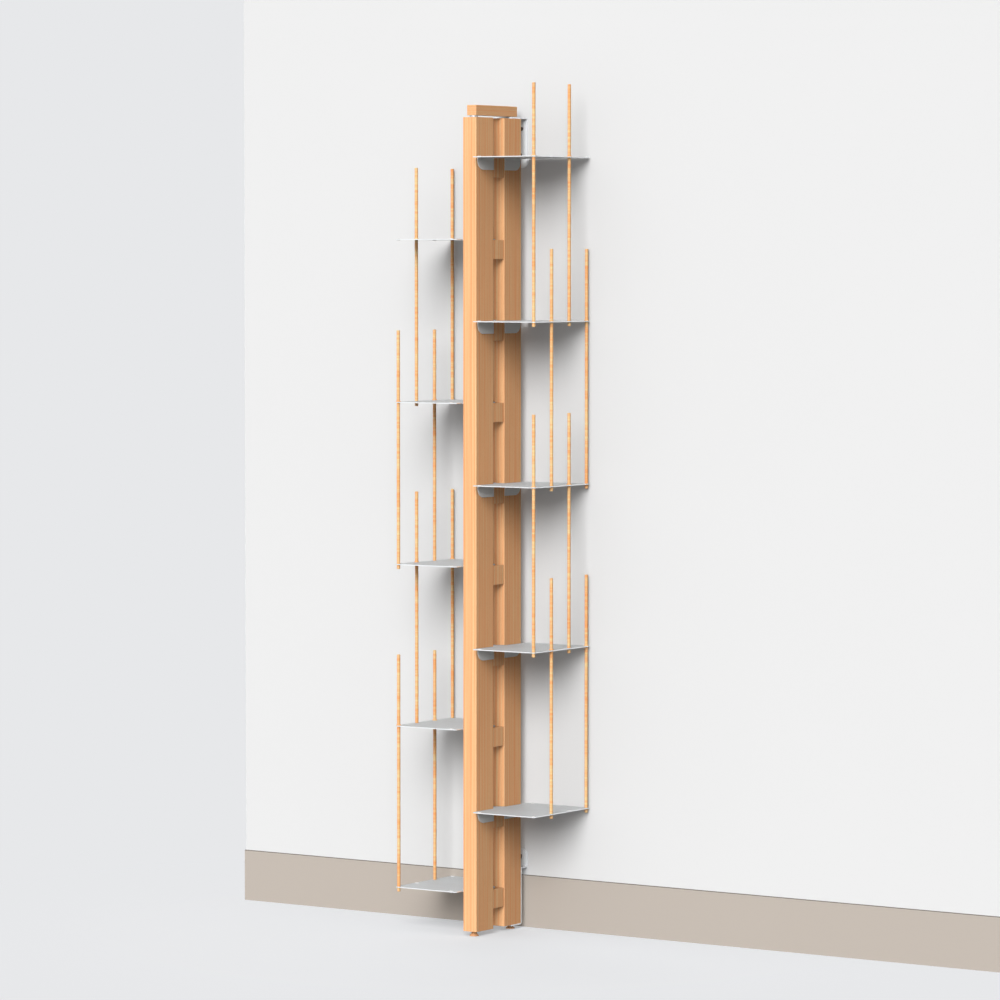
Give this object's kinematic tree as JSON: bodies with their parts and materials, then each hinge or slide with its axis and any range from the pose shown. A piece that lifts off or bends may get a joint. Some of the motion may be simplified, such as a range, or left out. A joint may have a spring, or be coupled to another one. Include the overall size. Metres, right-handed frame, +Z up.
{
  "type": "spine bookshelf",
  "caption": "Slender beech ladder column fixed to a wall, with steel shelves standing out left and right in turn and loose beech rods dropped through their outer edges to hold books in.",
  "frame": {"origin": "on the floor, midway between the shelves' outer edges and midway between the shelves' front edge and the wall", "axes": "+X to the right along the wall as seen from the room, +Y towards the wall, +Z up"},
  "size_m": [0.3964, 0.2388, 1.993],
  "materials": {
    "beech": "clear matt lacquer, fine straight grain",
    "white_steel": "fine-textured white powder coat",
    "zinc_steel": "zinc plated",
    "brass": "plain turned",
    "white_plastic": "satin"
  },
  "bodies": {
    "column": {"front_post": "beech", "rear_post": "beech", "rung_right_1": "beech", "rung_right_2": "beech", "rung_right_3": "beech", "rung_right_4": "beech", "rung_right_5": "beech", "rung_left_1": "beech", "rung_left_2": "beech", "rung_left_3": "beech", "rung_left_4": "beech", "rung_left_5": "beech", "shelf_right_1": "white_steel", "shelf_right_2": "white_steel", "shelf_right_3": "white_steel", "shelf_right_4": "white_steel", "shelf_right_5": "white_steel", "shelf_left_1": "white_steel", "shelf_left_2": "white_steel", "shelf_left_3": "white_steel", "shelf_left_4": "white_steel", "shelf_left_5": "white_steel", "cap": "beech", "front_spacer": "zinc_steel", "rear_washer": "zinc_steel", "cap_bolts": "zinc_steel", "cap_inserts": "brass", "foot_inserts": "brass", "rung_dowels": "beech", "shelf_screws": "zinc_steel", "hole_plugs": "white_plastic", "top_wall_bracket": "white_steel", "bottom_wall_bracket": "white_steel"},
    "rod_right_1_front_body": {"rod_right_1_front": "beech"},
    "rod_right_1_rear_body": {"rod_right_1_rear": "beech"},
    "rod_right_2_front_body": {"rod_right_2_front": "beech"},
    "rod_right_2_rear_body": {"rod_right_2_rear": "beech"},
    "rod_right_3_front_body": {"rod_right_3_front": "beech"},
    "rod_right_3_rear_body": {"rod_right_3_rear": "beech"},
    "rod_right_4_front_body": {"rod_right_4_front": "beech"},
    "rod_right_4_rear_body": {"rod_right_4_rear": "beech"},
    "rod_left_1_front_body": {"rod_left_1_front": "beech"},
    "rod_left_1_rear_body": {"rod_left_1_rear": "beech"},
    "rod_left_2_front_body": {"rod_left_2_front": "beech"},
    "rod_left_2_rear_body": {"rod_left_2_rear": "beech"},
    "rod_left_3_front_body": {"rod_left_3_front": "beech"},
    "rod_left_3_rear_body": {"rod_left_3_rear": "beech"},
    "rod_left_4_front_body": {"rod_left_4_front": "beech"},
    "rod_left_4_rear_body": {"rod_left_4_rear": "beech"},
    "front_foot_body": {"front_foot": "beech", "front_foot_stud": "zinc_steel"},
    "rear_foot_body": {"rear_foot": "beech", "rear_foot_stud": "zinc_steel"}
  },
  "joints": [
    {"name": "rod_right_1_front_lift", "type": "slide", "parent": "column", "child": "rod_right_1_front_body", "axis": [0, 0, 1], "range_m": [0, 0.39]},
    {"name": "rod_right_1_rear_lift", "type": "slide", "parent": "column", "child": "rod_right_1_rear_body", "axis": [0, 0, 1], "range_m": [0, 0.39]},
    {"name": "rod_right_2_front_lift", "type": "slide", "parent": "column", "child": "rod_right_2_front_body", "axis": [0, 0, 1], "range_m": [0, 0.2]},
    {"name": "rod_right_2_rear_lift", "type": "slide", "parent": "column", "child": "rod_right_2_rear_body", "axis": [0, 0, 1], "range_m": [0, 0.2]},
    {"name": "rod_right_3_front_lift", "type": "slide", "parent": "column", "child": "rod_right_3_front_body", "axis": [0, 0, 1], "range_m": [0, 0.2]},
    {"name": "rod_right_3_rear_lift", "type": "slide", "parent": "column", "child": "rod_right_3_rear_body", "axis": [0, 0, 1], "range_m": [0, 0.2]},
    {"name": "rod_right_4_front_lift", "type": "slide", "parent": "column", "child": "rod_right_4_front_body", "axis": [0, 0, 1], "range_m": [0, 0.2]},
    {"name": "rod_right_4_rear_lift", "type": "slide", "parent": "column", "child": "rod_right_4_rear_body", "axis": [0, 0, 1], "range_m": [0, 0.2]},
    {"name": "rod_left_1_front_lift", "type": "slide", "parent": "column", "child": "rod_left_1_front_body", "axis": [0, 0, 1], "range_m": [0, 0.39]},
    {"name": "rod_left_1_rear_lift", "type": "slide", "parent": "column", "child": "rod_left_1_rear_body", "axis": [0, 0, 1], "range_m": [0, 0.39]},
    {"name": "rod_left_2_front_lift", "type": "slide", "parent": "column", "child": "rod_left_2_front_body", "axis": [0, 0, 1], "range_m": [0, 0.2]},
    {"name": "rod_left_2_rear_lift", "type": "slide", "parent": "column", "child": "rod_left_2_rear_body", "axis": [0, 0, 1], "range_m": [0, 0.2]},
    {"name": "rod_left_3_front_lift", "type": "slide", "parent": "column", "child": "rod_left_3_front_body", "axis": [0, 0, 1], "range_m": [0, 0.2]},
    {"name": "rod_left_3_rear_lift", "type": "slide", "parent": "column", "child": "rod_left_3_rear_body", "axis": [0, 0, 1], "range_m": [0, 0.2]},
    {"name": "rod_left_4_front_lift", "type": "slide", "parent": "column", "child": "rod_left_4_front_body", "axis": [0, 0, 1], "range_m": [0, 0.2]},
    {"name": "rod_left_4_rear_lift", "type": "slide", "parent": "column", "child": "rod_left_4_rear_body", "axis": [0, 0, 1], "range_m": [0, 0.2]},
    {"name": "front_foot_height", "type": "slide", "parent": "column", "child": "front_foot_body", "axis": [0, 0, 1], "range_m": [-0.01, 0]},
    {"name": "rear_foot_height", "type": "slide", "parent": "column", "child": "rear_foot_body", "axis": [0, 0, 1], "range_m": [-0.01, 0]}
  ]
}
